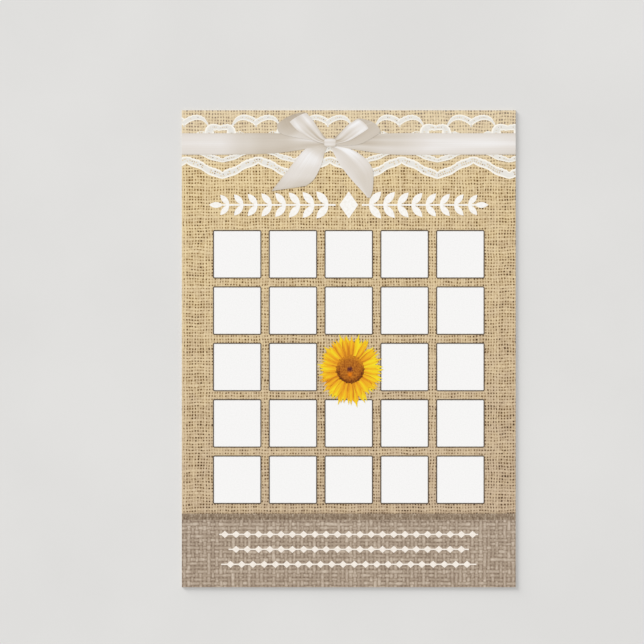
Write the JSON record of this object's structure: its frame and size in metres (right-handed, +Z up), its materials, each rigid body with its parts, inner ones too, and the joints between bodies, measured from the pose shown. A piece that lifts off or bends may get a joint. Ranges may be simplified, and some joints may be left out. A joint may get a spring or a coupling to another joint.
{
  "type": "bingo card",
  "caption": "Flat printed bingo card of coated stock: a grid of blank squares round a sunflower free space, on burlap with a lace-edged ribbon bow above and a linen band below.",
  "frame": {"origin": "middle of the card's back, on the surface that it lies on", "axes": "+Z up out of the printed face, +Y towards the head of the card, +X to the right of a reader"},
  "size_m": [0.0888, 0.127, 0.0006],
  "materials": {
    "stock_core": "uncoated white card core, seen only at the cut edges",
    "stock_coating": "smooth matt white coating",
    "ink_burlap": "matt print of an open jute weave",
    "ink_linen": "matt print of a heathered linen weave",
    "ink_hem": "matt print of a folded linen hem",
    "ink_lace": "matt print of cream lace",
    "ink_ribbon": "matt print of ivory satin ribbon",
    "ink_ribbon_shade": "matt print of shaded satin ribbon",
    "ink_outline": "matt dark brown ink",
    "ink_petal_back": "matt print of deep yellow petals",
    "ink_petal": "matt print of yellow petals",
    "ink_disc": "matt print of a brown seed disc",
    "ink_disc_centre": "matt dark brown ink",
    "ink_white": "matt opaque white ink"
  },
  "bodies": {
    "root": {"back_coating": "stock_coating", "card_core": "stock_core", "front_coating": "stock_coating", "burlap_print": "ink_burlap", "linen_band_print": "ink_linen", "linen_hem_print": "ink_hem", "lace_upper_edge_print": "ink_lace", "lace_inner_band_print": "ink_lace", "lace_outer_band_print": "ink_lace", "ribbon_left_print": "ink_ribbon", "bow_left_tail_print": "ink_ribbon", "bow_left_loop_back_print": "ink_ribbon_shade", "bow_left_loop_front_print": "ink_ribbon", "ribbon_right_print": "ink_ribbon", "bow_right_tail_print": "ink_ribbon", "bow_right_loop_back_print": "ink_ribbon_shade", "bow_right_loop_front_print": "ink_ribbon", "bow_knot_print": "ink_ribbon", "flower_back_petals_print": "ink_petal_back", "flower_front_petals_print": "ink_petal", "flower_disc_print": "ink_disc", "flower_centre_print": "ink_disc_centre", "title_sprig_left_print": "ink_white", "title_sprig_right_print": "ink_white", "title_diamond_print": "ink_white", "foot_row_1_print": "ink_white", "foot_row_2_print": "ink_white", "foot_row_3_print": "ink_white", "square_outline_r1_c1": "ink_outline", "square_outline_r1_c2": "ink_outline", "square_outline_r1_c3": "ink_outline", "square_outline_r1_c4": "ink_outline", "square_outline_r1_c5": "ink_outline", "square_outline_r2_c1": "ink_outline", "square_outline_r2_c2": "ink_outline", "square_outline_r2_c3": "ink_outline", "square_outline_r2_c4": "ink_outline", "square_outline_r2_c5": "ink_outline", "square_outline_r3_c1": "ink_outline", "square_outline_r3_c2": "ink_outline", "square_outline_r3_c4": "ink_outline", "square_outline_r3_c5": "ink_outline", "square_outline_r4_c1": "ink_outline", "square_outline_r4_c2": "ink_outline", "square_outline_r4_c3": "ink_outline", "square_outline_r4_c4": "ink_outline", "square_outline_r4_c5": "ink_outline", "square_outline_r5_c1": "ink_outline", "square_outline_r5_c2": "ink_outline", "square_outline_r5_c3": "ink_outline", "square_outline_r5_c4": "ink_outline", "square_outline_r5_c5": "ink_outline"}
  },
  "joints": []
}
